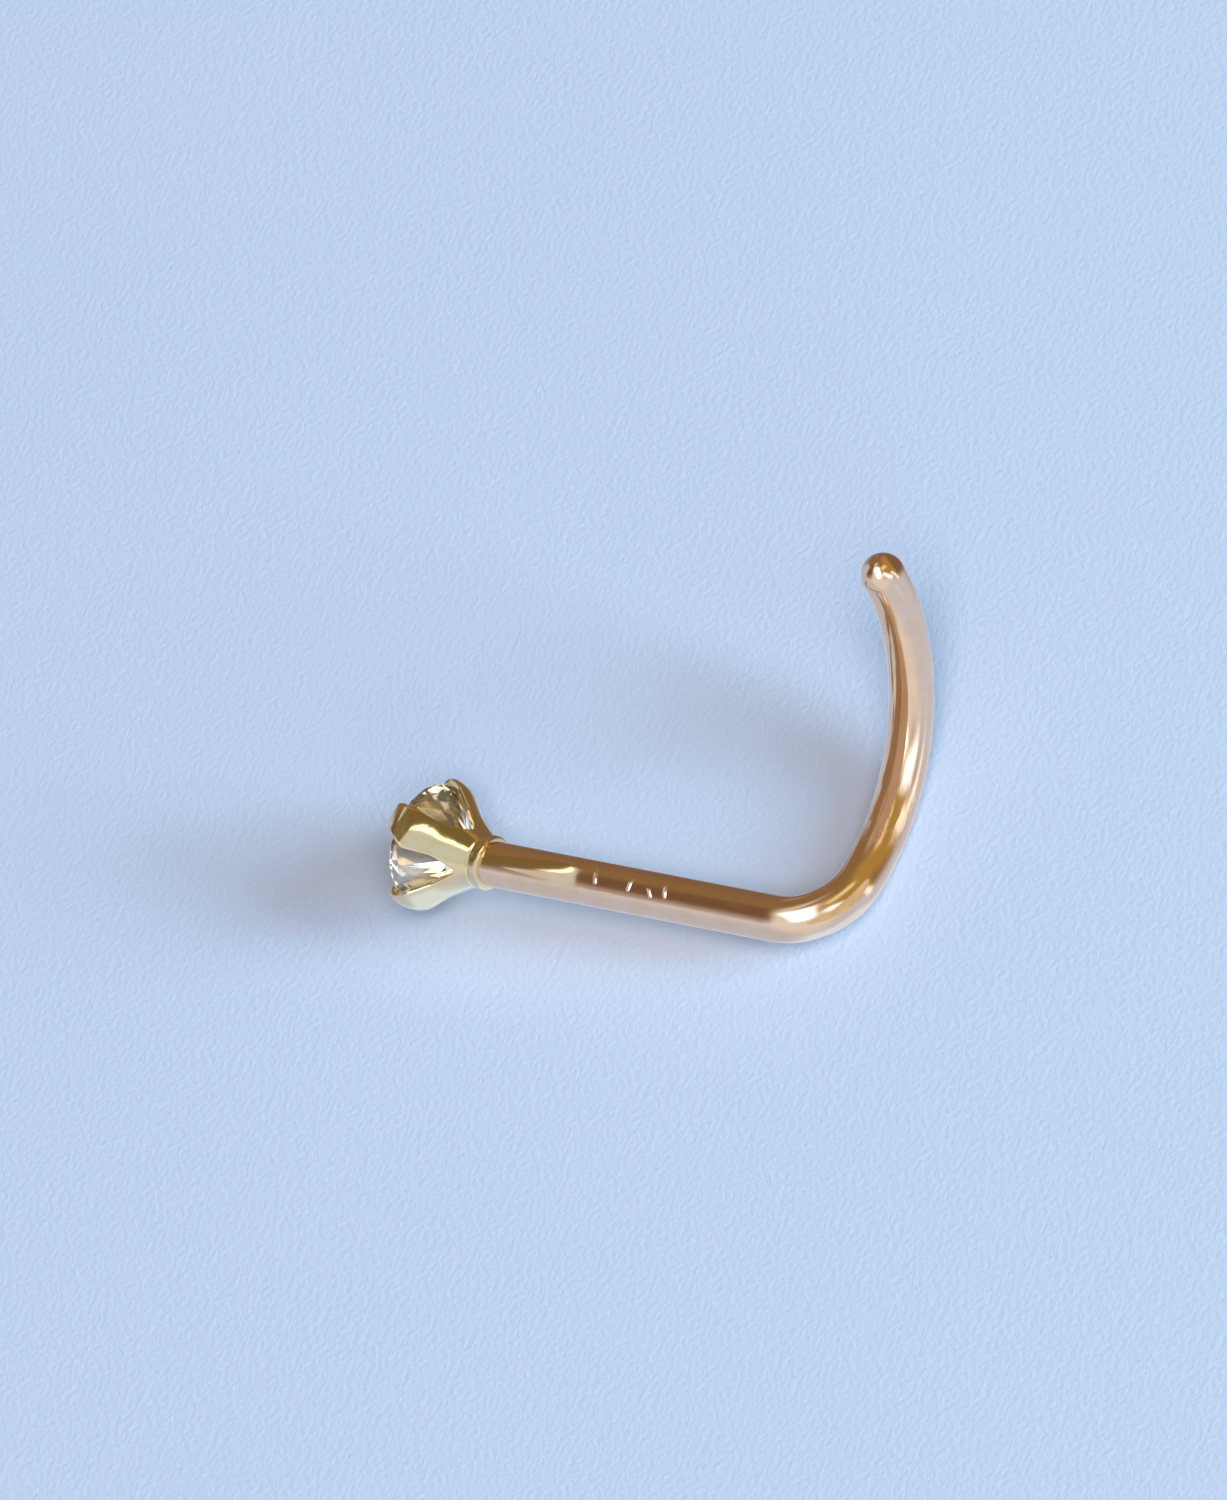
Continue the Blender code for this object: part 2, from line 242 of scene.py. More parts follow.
def rest_matrix():
    """From the stud's own frame in metres to the world."""
    roll = Matrix.Rotation(math.radians(REST_ROLL_DEG), 4, "X")
    pitch = Matrix.Rotation(math.radians(REST_PITCH_DEG), 4, "Y")
    return Matrix.Translation(Vector(REST_SHIFT) * MM) @ pitch @ roll


def setting_matrix():
    """From the setting's frame to the stud's own."""
    onto_post = Matrix.Rotation(math.radians(-90), 4, "Y")
    side = Matrix.Rotation(math.radians(ASKEW_SIDE_DEG), 4, "Z")
    lift = Matrix.Rotation(math.radians(ASKEW_LIFT_DEG), 4, "Y")
    return side @ lift @ onto_post


def camera_axes():
    """The image's right, up and towards-the-camera directions, in the stud's own frame."""
    turn = math.radians(VIEW_TURN_DEG)
    rise = math.radians(VIEW_RISE_DEG)
    roll = math.radians(VIEW_ROLL_DEG)
    towards = Vector(
        (math.sin(turn), -math.cos(turn) * math.cos(rise), math.cos(turn) * math.sin(rise))
    )
    along = Vector(
        (math.cos(turn), math.sin(turn) * math.cos(rise), -math.sin(turn) * math.sin(rise))
    )
    across = Vector((0, math.sin(rise), math.cos(rise)))
    right = along * math.cos(roll) + across * math.sin(roll)
    up = -along * math.sin(roll) + across * math.cos(roll)
    return right, up, towards


def world_direction(right, up, towards):
    """A direction given by image right, image up and towards the camera, turned to the world."""
    rest = rest_matrix().to_3x3()
    axes = [rest @ axis for axis in camera_axes()]
    return (axes[0] * right + axes[1] * up + axes[2] * towards).normalized()


def smooth_line(points, steps):
    """Points along a Catmull-Rom line through the given ones, with steps between each pair."""
    points = np.asarray(points, float)
    padded = np.vstack([2 * points[0] - points[1], points, 2 * points[-1] - points[-2]])
    made = []
    for index in range(1, len(padded) - 2):
        before, start, end, after = padded[index - 1 : index + 3]
        for step in range(steps):
            share = step / steps
            made.append(
                0.5
                * (
                    2 * start
                    + (end - before) * share
                    + (2 * before - 5 * start + 4 * end - after) * share**2
                    + (3 * start - before - 3 * end + after) * share**3
                )
            )
    made.append(points[-1])
    return np.array(made)


def resample(line, columns, positions):
    """The line's rows at the given shares of its length, measured over the named columns."""
    length = np.linalg.norm(np.diff(line[:, columns], axis=0), axis=1)
    along = np.concatenate([[0], np.cumsum(length)])
    wanted = np.asarray(positions) * along[-1]
    return np.column_stack([np.interp(wanted, along, line[:, i]) for i in range(line.shape[1])])


class MeshMaker:
    """Collects grids of points and faces, in millimetres."""

    def __init__(self):
        self.points = []
        self.places = []
        self.insides = []
        self.faces = []

    def grid(self, rows, closed=False, flip=False, places=None, inside=0.0):
        """Adds a grid of rows x columns points, joined round its columns if closed.

        The places are what the materials read: the points themselves, or others given for them.
        Inside is 1 on faces that look inwards to the stone.
        """
        rows = np.asarray(rows, float)
        places = rows if places is None else np.asarray(places, float)
        self.places.extend(map(tuple, places.reshape(-1, 3)))
        count, across = rows.shape[:2]
        self.insides.extend([inside] * (count * across))
        first = len(self.points)
        self.points.extend(map(tuple, rows.reshape(-1, 3)))
        last = across if closed else across - 1
        for i in range(count - 1):
            for j in range(last):
                k = (j + 1) % across
                face = (
                    first + i * across + j,
                    first + i * across + k,
                    first + (i + 1) * across + k,
                    first + (i + 1) * across + j,
                )
                self.faces.append(face[::-1] if flip else face)

    def make(self, name, matrix, weld=1e-4):
        """One smooth mesh object in metres, with points closer than weld (mm) joined."""
        points = np.array(self.points)
        keys = {}
        place = np.zeros(len(points), int)
        kept = []
        places = []
        insides = []
        for index, key in enumerate(map(tuple, np.round(points / weld).astype(int))):
            if key not in keys:
                keys[key] = len(kept)
                kept.append(points[index])
                places.append(self.places[index])
                insides.append(self.insides[index])
            place[index] = keys[key]
        faces = []
        for face in self.faces:
            corners = []
            for corner in face:
                joined = int(place[corner])
                if joined not in corners:
                    corners.append(joined)
            if len(corners) > 2:
                faces.append(corners)
        mesh = bpy.data.meshes.new(name)
        mesh.from_pydata([tuple(point * MM) for point in kept], [], faces)
        mesh.update()
        stored = mesh.attributes.new("place", "FLOAT_VECTOR", "POINT")
        stored.data.foreach_set("vector", np.array(places, np.float32).ravel())
        stored = mesh.attributes.new("inside", "FLOAT", "POINT")
        stored.data.foreach_set("value", np.array(insides, np.float32))
        mesh.shade_smooth()
        mesh.transform(matrix)
        made = bpy.data.objects.new(name, mesh)
        bpy.context.scene.collection.objects.link(made)
        return made


def wire_line():
    """Centres, headings and radii along the wire, in millimetres."""
    rows = []
    for step in range(POST_STEPS):
        along = WIRE_START + (POST_LENGTH - WIRE_START) * step / POST_STEPS
        rows.append((along, 0.0, 0.0, WIRE_RADIUS))
    for step in range(BEND_STEPS):
        turn = math.pi / 2 * step / BEND_STEPS
        rows.append(
            (
                POST_LENGTH + BEND_RADIUS * math.sin(turn),
                BEND_RADIUS * (1 - math.cos(turn)),
                0.0,
                WIRE_RADIUS,
            )
        )
    arc = HOOK_LENGTH / HOOK_ARC_RADIUS
    for step in range(HOOK_STEPS + 1):
        share = step / HOOK_STEPS
        rows.append(
            (
                POST_LENGTH + BEND_RADIUS - HOOK_LEAN * share**2,
                BEND_RADIUS + HOOK_ARC_RADIUS * math.sin(arc * share),
                HOOK_ARC_RADIUS * (1 - math.cos(arc * share)),
                WIRE_RADIUS + (TIP_RADIUS - WIRE_RADIUS) * share,
            )
        )
    rows = np.array(rows)
    centres, radii = rows[:, :3], rows[:, 3]
    headings = np.gradient(centres, axis=0)
    headings /= np.linalg.norm(headings, axis=1)[:, None]
    end, last = centres[-1], headings[-1]
    for step in range(1, DOME_STEPS + 1):
        turn = math.pi / 2 * step / DOME_STEPS
        centres = np.vstack([centres, end + last * TIP_RADIUS * math.sin(turn)])
        headings = np.vstack([headings, last])
        radii = np.append(radii, max(TIP_RADIUS * math.cos(turn), 0.0))
    return centres, headings, radii


def make_wire():
    """The post, bend and hook as one round tube with a domed end."""
    centres, headings, radii = wire_line()
    rings = []
    straight = []
    side = np.array((0.0, 0.0, 1.0))
    turns = np.linspace(0, math.tau, WIRE_SIDES, endpoint=False)
    steps = np.linalg.norm(np.diff(centres, axis=0), axis=1)
    along = WIRE_START + np.concatenate([[0], np.cumsum(steps)])
    for centre, heading, radius, reach in zip(centres, headings, radii, along):
        side = side - heading * (side @ heading)
        side /= np.linalg.norm(side)
        other = np.cross(heading, side)
        ring = centre + radius * (np.outer(np.cos(turns), side) + np.outer(np.sin(turns), other))
        rings.append(ring)
        far = np.full(WIRE_SIDES, reach)
        straight.append(np.column_stack([far, radius * np.cos(turns), radius * np.sin(turns)]))
    maker = MeshMaker()
    maker.grid(rings, closed=True, flip=True, places=straight)
    maker.grid([np.repeat(centres[:1], WIRE_SIDES, axis=0), rings[0]], closed=True, flip=True)
    return maker.make("stud_wire", rest_matrix())


def on_ring(height, radius, turn):
    """A point of the setting by its height, radius and turn, in millimetres."""
    return np.array((radius * math.cos(turn), radius * math.sin(turn), height))


def window_edges(index, height, radius):
    """The turns of a prong's two edges at a height, where the windows beside it end."""
    turns = [PRONG_TURNS_DEG[-1] - 360, *PRONG_TURNS_DEG, PRONG_TURNS_DEG[0] + 360]
    before, own, after = (math.radians(turn) for turn in turns[index : index + 3])
    heights = [row[1] for row in WINDOW_OUTLINE]
    halves = [row[2] for row in WINDOW_OUTLINE]
    half = float(np.interp(height, heights, halves))
    edges = []
    breadth_before = WINDOW_BREADTHS[index - 1][2]
    breadth_after = WINDOW_BREADTHS[index][1]
    for other, sign, breadth in ((before, 1, breadth_before), (after, -1, breadth_after)):
        middle = (own + other) / 2
        share = abs(own - other) / (math.pi / 2) * breadth
        edges.append(middle + sign * math.asin(min(half * share / radius, 0.99)))
    return edges


def prong_sheet(index, line, tip_start, outer):
    """One side of a prong: rows of points from the root to the rounded end of its tip."""
    heights, radii = (line[:, 0], line[:, 1]) if outer else (line[:, 2], line[:, 3])
    body = [row for row in range(len(line)) if line[row, 0] <= tip_start + 1e-9]
    across = np.sin(np.linspace(-1, 1, PRONG_COLUMNS + 1) * math.pi / 2)
    even = np.linspace(-1, 1, PRONG_COLUMNS + 1)
    _, claw_shift, claw_half = CLAWS[index]
    own = math.radians(PRONG_TURNS_DEG[index]) + claw_shift / line[body[-1], 1]
    rows = []
    for row in body:
        low, high = window_edges(index, line[row, 0], line[row, 1])
        middle, half = (low + high) / 2, (high - low) / 2
        risen = line[row, 0] - CLAW_START_HEIGHT
        blend = min(max(risen / (tip_start - CLAW_START_HEIGHT), 0.0), 1.0)
        limit = claw_half / line[row, 1]
        half = half * (1 - blend) + min(half, limit) * blend
        middle = middle * (1 - blend) + own * blend
        spread = even * (1 - blend) + across * blend
        rows.append([on_ring(heights[row], radii[row], middle + half * x) for x in spread])
    last = body[-1]
    reach = len(line) - 1 - last
    for step in range(1, TIP_ROWS + 1):
        row = []
        for x in across:
            place = last + reach * step / TIP_ROWS * math.sqrt(max(1 - x * x, 0))
            height = np.interp(place, range(len(line)), heights)
            radius = np.interp(place, range(len(line)), radii)
            turn = own + half * line[last, 1] * x / np.interp(place, range(len(line)), line[:, 1])
            row.append(on_ring(height, radius, turn))
        rows.append(row)
    return np.array(rows), len(body)


def edge_strip(outer, inner, away):
    """Rounded rows from an outer edge to the inner one, bulging along away."""
    rows = []
    span = inner - outer
    thick = np.linalg.norm(span, axis=1)[:, None]
    through = span / np.maximum(thick, 1e-9)
    curve = np.minimum(EDGE_ROUND, thick / 2)
    for step in range(EDGE_STEPS + 1):
        turn = math.pi / 2 * step / EDGE_STEPS
        rows.append(outer + away * curve * math.sin(turn) + through * curve * (1 - math.cos(turn)))
    for step in range(EDGE_STEPS, -1, -1):
        turn = math.pi / 2 * step / EDGE_STEPS
        rows.append(inner + away * curve * math.sin(turn) - through * curve * (1 - math.cos(turn)))
    return np.array(rows)


def make_setting():
    """The turned base and cup, cut into four prongs whose ends fold over the stone."""
    maker = MeshMaker()
    line = smooth_line([row[1:] for row in PRONG_OUTLINE], PRONG_LINE_STEPS)
    shares = np.linspace(0, 1, PRONG_ROWS + 1) ** ROW_CROWDING
    line = resample(line, [0, 1], shares)
    over = int(np.searchsorted(line[:, 0], TIP_START_HEIGHT))
    tip_start = line[over, 0]
    for index in range(len(PRONG_TURNS_DEG)):
        outer, body = prong_sheet(index, line, tip_start, True)
        inner, _ = prong_sheet(index, line, tip_start, False)
        maker.grid(outer)
        maker.grid(inner, flip=True, inside=1.0)
        edge_outer = np.vstack([outer[:body, 0], outer[-1, 1:-1], outer[:body, -1][::-1]])
        edge_inner = np.vstack([inner[:body, 0], inner[-1, 1:-1], inner[:body, -1][::-1]])
        near = np.vstack([outer[:body, 1], outer[-2, 1:-1], outer[:body, -2][::-1]])
        along = np.gradient(edge_outer, axis=0)
        along /= np.linalg.norm(along, axis=1)[:, None] + 1e-12
        away = edge_outer - near
        away -= along * (away * along).sum(1)[:, None]
        away /= np.linalg.norm(away, axis=1)[:, None] + 1e-12
        fade = np.ones(len(away))
        fade[0] = 0.0
        fade[-1] = 0.0
        maker.grid(edge_strip(edge_outer, edge_inner, away * fade[:, None]))
    # below the windows: one turned wall outside, and a bowl inside
    columns = []
    for index in range(len(PRONG_TURNS_DEG)):
        low, high = window_edges(index, line[0, 0], line[0, 1])
        columns.extend(np.linspace(low, high, PRONG_COLUMNS + 1)[:-1])
    base = [row[1:] for row in BASE_OUTLINE]
    lower = smooth_line([base[-1], CUP_SIDE, (line[0, 0], line[0, 1])], CUP_SIDE_STEPS)
    outside = [*base[:-1], *lower]
    rows = [[on_ring(height, radius, turn) for turn in columns] for height, radius in outside]
    maker.grid(rows, closed=True)
    bowl = [*(row[1:] for row in BOWL_OUTLINE), (line[0, 2], line[0, 3])]
    rows = [[on_ring(height, radius, turn) for turn in columns] for height, radius in bowl]
    maker.grid(rows, closed=True, flip=True, inside=1.0)
    return maker.make("stud_setting", rest_matrix() @ setting_matrix())


def node(tree, kind, **inputs):
    """A shader node with its inputs set or linked, by name with spaces as underscores."""
    made = tree.nodes.new(kind)
    for name, value in inputs.items():
        socket = made.inputs[name.replace("_", " ")]
        if isinstance(value, bpy.types.NodeSocket):
            tree.links.new(value, socket)
        else:
            socket.default_value = value
    return made


def soft_step(tree, value, low, high):
    """A smooth rise from 0 to 1 as the value goes from low to high."""
    ramp = node(tree, "ShaderNodeMapRange", Value=value)
    ramp.interpolation_type = "SMOOTHSTEP"
    ramp.inputs["From Min"].default_value = low
    ramp.inputs["From Max"].default_value = high
    return ramp.outputs["Result"]


def math_node(tree, operation, first, second):
    """A math node on two values, each a socket or a number."""
    made = tree.nodes.new("ShaderNodeMath")
    made.operation = operation
    for socket, value in zip(made.inputs, (first, second)):
        if isinstance(value, bpy.types.NodeSocket):
            tree.links.new(value, socket)
        else:
            socket.default_value = value
    return made.outputs[0]


def dot_node(tree, vector, direction):
    """The share of a vector socket that lies along a fixed direction."""
    made = tree.nodes.new("ShaderNodeVectorMath")
    made.operation = "DOT_PRODUCT"
    tree.links.new(vector, made.inputs[0])
    made.inputs[1].default_value = direction
    return made.outputs["Value"]


def stored_value(tree, name):
    """The node that reads a value stored on the mesh's points."""
    made = tree.nodes.new("ShaderNodeAttribute")
    made.attribute_name = name
    return made


def new_material(name):
    """A material with the usual shader, its node tree and that shader."""
    material = bpy.data.materials.new(name)
    material.use_nodes = True
    tree = material.node_tree
    return material, tree, tree.nodes["Principled BSDF"]


def gold_material(name, colours, stretch, scuffs, nicks):
    """Polished gold with fine scratches, a faint unevenness and, on the wire, two scuffed spots.
    Faces that look inwards to the stone get painted shade, a darker and deeper gold.

    The stretch turns places in millimetres into the scratches' own grain. The scuffs are given by
    their middle and half length along the wire, with how strong they are. The nicks are short
    dents across the wire: place along it, turn and half length round it, and slant.
    """
    material, tree, shader = new_material(name)
    where = stored_value(tree, "place").outputs["Vector"]
    grain_place = node(tree, "ShaderNodeMapping", Vector=where)
    grain_place.inputs["Scale"].default_value = stretch
    grain_at = grain_place.outputs["Vector"]
    grain = node(tree, "ShaderNodeTexNoise", Vector=grain_at, Scale=1.0, Detail=4.0)
    swell = node(tree, "ShaderNodeTexNoise", Vector=where, Scale=SWELL_SCALE, Detail=1.0)
    blotch = node(tree, "ShaderNodeTexNoise", Vector=where, Scale=BLOTCH_SCALE, Detail=3.0)
    pit_place = node(tree, "ShaderNodeMapping", Vector=where)
    pit_place.inputs["Scale"].default_value = PIT_STRETCH
    pit_at = pit_place.outputs["Vector"]
    pits = node(tree, "ShaderNodeTexNoise", Vector=pit_at, Scale=1.0, Detail=2.0)
    scratch = soft_step(tree, grain.outputs["Fac"], *SCRATCH_STEP)
    mask = None
    split = node(tree, "ShaderNodeSeparateXYZ", Vector=where)
    for _, middle, half, strength in scuffs:
        off = math_node(tree, "SUBTRACT", split.outputs["X"], middle)
        near = soft_step(tree, math_node(tree, "ABSOLUTE", off, 0.0), half, half * SCUFF_CORE)
        part = math_node(tree, "MULTIPLY", near, strength)
        mask = part if mask is None else math_node(tree, "ADD", mask, part)
    rough = math_node(tree, "MULTIPLY", blotch.outputs["Fac"], GOLD_ROUGHNESS_RANGE)
    rough = math_node(tree, "ADD", rough, GOLD_ROUGHNESS)
    scored = math_node(tree, "MULTIPLY", scratch, SCRATCH_ROUGHNESS)
    rough = math_node(tree, "ADD", rough, scored)
    height = math_node(tree, "MULTIPLY", swell.outputs["Fac"], GOLD_SWELL)
    height = math_node(tree, "SUBTRACT", height, math_node(tree, "MULTIPLY", scratch, GOLD_SCRATCH))
    if mask is not None:
        worn = math_node(tree, "MULTIPLY", pits.outputs["Fac"], mask)
        height = math_node(tree, "ADD", height, math_node(tree, "MULTIPLY", worn, GOLD_SCUFF))
    if nicks:
        round_turn = math_node(tree, "ARCTAN2", split.outputs["Z"], split.outputs["Y"])
    for _, middle, turn_deg, half_deg, slant in nicks:
        turned = math_node(tree, "SUBTRACT", round_turn, math.radians(turn_deg))
        line_at = math_node(tree, "MULTIPLY", turned, slant)
        off = math_node(tree, "SUBTRACT", split.outputs["X"], middle)
        off = math_node(tree, "SUBTRACT", off, line_at)
        groove = soft_step(tree, math_node(tree, "ABSOLUTE", off, 0.0), NICK_WIDTH, 0.0)
        half = math.radians(half_deg)
        turned_off = math_node(tree, "ABSOLUTE", turned, 0.0)
        within = soft_step(tree, turned_off, half, half * NICK_CORE)
        dent = math_node(tree, "MULTIPLY", math_node(tree, "MULTIPLY", groove, within), NICK_DEPTH)
        height = math_node(tree, "SUBTRACT", height, dent)
    tone = soft_step(tree, blotch.outputs["Fac"], *BLOTCH_STEP)
    colour = mix_colour(tree, tone, *colours)
    # painted shade: faces that look inwards to the stone get a darker, deeper gold
    inside = stored_value(tree, "inside").outputs["Fac"]
    colour = mix_colour(tree, inside, colour, CUP_INSIDE_PAINTED_SHADE)
    bump = node(tree, "ShaderNodeBump", Height=height, Strength=1.0, Distance=MM)
    tree.links.new(colour, shader.inputs["Base Color"])
    tree.links.new(rough, shader.inputs["Roughness"])
    tree.links.new(bump.outputs["Normal"], shader.inputs["Normal"])
    shader.inputs["Metallic"].default_value = 1.0
    return material


def stone_material():
    """Clear cubic zirconia, a little worn, warmed on its upper side by a painted reflection of the
    gold, and hazier and so paler on its lower one, as painted light.
    """
    material, tree, shader = new_material("clear_stone")
    where = tree.nodes.new("ShaderNodeTexCoord").outputs["Object"]
    film = node(tree, "ShaderNodeTexNoise", Vector=where, Scale=STONE_FILM_SCALE, Detail=3.0)
    worn = soft_step(tree, film.outputs["Fac"], *STONE_FILM_STEP)
    rough = math_node(tree, "MULTIPLY", worn, STONE_WEAR)
    tint = mix_colour(tree, worn, STONE_COLOUR, STONE_FILM_COLOUR)
    up = world_direction(0, 1, 0)
    level = (rest_matrix() @ (Vector(STONE_MIDDLE) * MM)).dot(up)
    over, under = (level + height * MM for height in STONE_BAND)
    # painted light by side: the lower side is made hazier and so paler, the upper side gets a
    # painted reflection of the gold
    low = soft_step(tree, dot_node(tree, where, up), over, under)
    patchy = math_node(tree, "MULTIPLY", worn, 1 - STONE_HAZE_EVEN_SHARE)
    patchy = math_node(tree, "ADD", patchy, STONE_HAZE_EVEN_SHARE)
    haze = math_node(tree, "MULTIPLY", math_node(tree, "MULTIPLY", low, patchy), STONE_HAZE)
    clear = math_node(tree, "SUBTRACT", STONE_CLEARNESS, haze)
    # painted reflection of the gold on the stone's upper side
    tint = mix_colour(tree, low, STONE_PAINTED_GOLD_REFLECTION, tint)
    tree.links.new(clear, shader.inputs["Transmission Weight"])
    tree.links.new(rough, shader.inputs["Roughness"])
    tree.links.new(tint, shader.inputs["Base Color"])
    shader.inputs["IOR"].default_value = STONE_IOR
    return material


def floor_point(across, down):
    """The point of the floor that the photograph shows at a pixel."""
    right, up, towards = (world_direction(*axis) for axis in ((1, 0, 0), (0, 1, 0), (0, 0, 1)))
    shift = right * (across - PHOTO_ORIGIN_PX[0]) + up * (PHOTO_ORIGIN_PX[1] - down)
    spot = rest_matrix().translation + shift / PHOTO_PX_PER_MM * MM
    return spot - towards * (spot.z / towards.z)


def painted_floor_glow(tree, where):
    """How much of the painted glow a place on the floor has: an oval of light off the gold, painted
    below the post.
    """
    middle = floor_point(*FLOOR_GLOW_PX[0])
    parts = []
    for end in FLOOR_GLOW_PX[1:]:
        reach = floor_point(*end) - middle
        start = middle.dot(reach) / reach.length_squared
        along = dot_node(tree, where, reach / reach.length_squared)
        part = math_node(tree, "SUBTRACT", along, start)
        parts.append(math_node(tree, "MULTIPLY", part, part))
    total = math_node(tree, "SQRT", math_node(tree, "ADD", *parts), 0.0)
    fade = soft_step(tree, total, 1.0, FLOOR_GLOW_CORE)
    return math_node(tree, "MULTIPLY", fade, FLOOR_GLOW)


def floor_material():
    """A matt pale sheet with a faint cloudiness, fine grain and a painted glow of light off the
    gold below the post.
    """
    material, tree, shader = new_material("pale_floor")
    where = tree.nodes.new("ShaderNodeTexCoord").outputs["Object"]
    cloud = node(tree, "ShaderNodeTexNoise", Vector=where, Scale=FLOOR_CLOUD_SCALE, Detail=2.0)
    grain = node(tree, "ShaderNodeTexNoise", Vector=where, Scale=FLOOR_GRAIN_SCALE, Detail=2.0)
    cloudy = math_node(tree, "MULTIPLY", cloud.outputs["Fac"], FLOOR_CLOUD_SHARE)
    grainy = math_node(tree, "MULTIPLY", grain.outputs["Fac"], 1 - FLOOR_CLOUD_SHARE)
    mixed = math_node(tree, "ADD", cloudy, grainy)
    colour = mix_colour(tree, mixed, FLOOR_COLOUR, FLOOR_SECOND_COLOUR)
    # painted light: the pale glow of light off the gold, painted into the floor's colour
    colour = mix_colour(tree, painted_floor_glow(tree, where), colour, PAINTED_FLOOR_GLOW_COLOUR)
    depth = FLOOR_GRAIN_HEIGHT * MM
    bump = node(tree, "ShaderNodeBump", Height=grain.outputs["Fac"], Distance=depth)
    tree.links.new(colour, shader.inputs["Base Color"])
    tree.links.new(bump.outputs["Normal"], shader.inputs["Normal"])
    shader.inputs["Roughness"].default_value = FLOOR_ROUGHNESS
    shader.inputs["Specular IOR Level"].default_value = FLOOR_SPECULAR
    return material


def make_floor():
    """A flat sheet under the stud, which the gold and the stone don't mirror."""
    size = FLOOR_HALF_SIZE * MM
    mesh = bpy.data.meshes.new("floor")
    corners = [(-size, -size, 0), (size, -size, 0), (size, size, 0), (-size, size, 0)]
    mesh.from_pydata(corners, [], [(0, 1, 2, 3)])
    floor = bpy.data.objects.new("floor", mesh)
    bpy.context.scene.collection.objects.link(floor)
    floor.data.materials.append(floor_material())
    floor.visible_glossy = False
    floor.visible_transmission = False


# Surroundings, by directions in the image: right, up and towards the camera. A pale card fills
# the lower half, a warm dark room the upper one, and soft light and dark patches lie over both.
CARD_UP = (-0.04, 0.97, 0.24)
CARD_EDGE = 0.29
CARD_COLOUR = (0.60, 0.72, 1.08)
ROOM_COLOUR = (0.21, 0.146, 0.12)
# name, middle, half width and half height in degrees, softness in degrees, turn, colour
PATCHES = (
    ("low_left", (-0.91, -0.38, -0.19), 55.0, 55.0, 6.0, -16.0, (0.54, 0.64, 0.94)),
    ("backdrop_right", (0.45, -0.68, -0.57), 26.0, 28.0, 8.0, -38.0, (0.76, 1.00, 1.55)),
    ("golden_wall", (0.03, 0.55, 0.83), 48.0, 47.0, 9.0, -50.0, (0.42, 0.30, 0.10)),
    ("dark_back", (-0.49, 0.87, -0.02), 45.0, 18.0, 9.0, 12.0, (0.26, 0.175, 0.095)),
    ("dark_left", (-0.89, 0.21, 0.40), 20.0, 28.0, 6.0, -31.0, (0.17, 0.10, 0.06)),
    ("left_sheen", (-0.74, 0.23, 0.63), 4.0, 47.0, 7.0, 2.0, (0.72, 0.79, 0.90)),
    ("golden_light", (0.04, 0.63, 0.78), 14.0, 8.0, 4.0, 47.0, (0.87, 0.83, 0.58)),
    ("bright_right", (0.90, 0.06, 0.44), 26.0, 5.0, 5.0, -30.0, (1.33, 1.44, 1.70)),
    ("dark_behind", (0.40, 0.42, -0.81), 24.0, 14.0, 6.0, 0.0, (0.22, 0.15, 0.09)),
    ("window", (0.40, -0.03, 0.92), 26.0, 7.0, 8.0, -19.0, (1.70, 2.05, 2.80)),
    ("low_middle", (-0.28, -0.55, 0.79), 35.0, 45.0, 20.0, 45.0, (0.78, 0.84, 1.06)),
    ("lamp", (-0.46, 0.20, 0.87), 9.0, 24.0, 9.0, 23.0, (4.4, 5.2, 7.0)),
)
# half the softness of the cut that keeps a patch off the opposite side of the surroundings
PATCH_FRONT = 0.05
# the cloudiness of the cards' paint, per millimetre
CARD_CLOUD_SCALE = 1.6
# Two small brown cards side by side along the hook, seen in reflections alone: share of the
# hook's length, and the turns round the wire between which they lie, from the image's right
# towards the camera. The split is the share of those turns where one ends and the other starts.
WIRE_CARD_RADIUS = 1.5
WIRE_CARD_STEPS = (24, 20)
HOOK_CARD = (
    ("low_end", 0.26, 100.0, 196.0),
    ("low", 0.34, 99.0, 184.0),
    ("middle", 0.45, 103.0, 176.0),
    ("high", 0.54, 106.0, 162.0),
    ("high_end", 0.60, 116.0, 152.0),
    ("point", 0.64, 130.0, 136.0),
)
# the same for the bend, whose shares lie before the hook's start
BEND_CARD = (
    ("first", -0.24, 60.0, 70.0),
    ("low", -0.18, 52.0, 82.0),
    ("middle", -0.06, 47.0, 84.0),
    ("high", 0.03, 50.0, 78.0),
    ("last", 0.09, 58.0, 68.0),
)
HOOK_CARD_SPLIT = 0.5
HOOK_CARD_COLOURS = ((0.36, 0.255, 0.185), (0.52, 0.410, 0.360))
HOOK_CARD_LEFT_COLOURS = ((0.22, 0.145, 0.090), (0.36, 0.250, 0.170))
BEND_CARD_COLOURS = ((0.46, 0.41, 0.32), (0.86, 0.82, 0.64))
# Three cards over the setting, parts of balls round its middle. Ahead, across and rise are three
# directions in the image, square to each other.
HEAD_MIDDLE = (-1.0, 0.0, 0.0)
HEAD_CARD_AHEAD = (-0.08, 0.60, 0.796)
HEAD_CARD_ACROSS = (0.937, 0.312, -0.141)
HEAD_CARD_RISE = (-0.333, 0.735, -0.588)
HEAD_CARD_STEPS = (10, 22)
# name, ball's radius, reach across, then the lower and the upper edge's rise at the left and at
# the right, all three in degrees
HEAD_CARDS = (
    ("head_dark", 2.70, (-47.0, 33.0), (-22.0, -14.0), (19.0, 19.0)),
    ("head_strip", 2.65, (-14.0, 33.0), (-19.0, -31.0), (-17.5, -13.0)),
    ("head_pale", 2.75, (-44.0, 33.0), (-72.0, -72.0), (-18.0, -13.0)),
)
HEAD_COLOURS = (
    ("head_dark", (0.155, 0.120, 0.046), (0.225, 0.178, 0.072)),
    ("head_strip", (1.47, 1.48, 1.20), (2.55, 2.75, 2.80)),
    ("head_pale", (0.53, 0.62, 0.73), (0.70, 0.81, 0.97)),
)
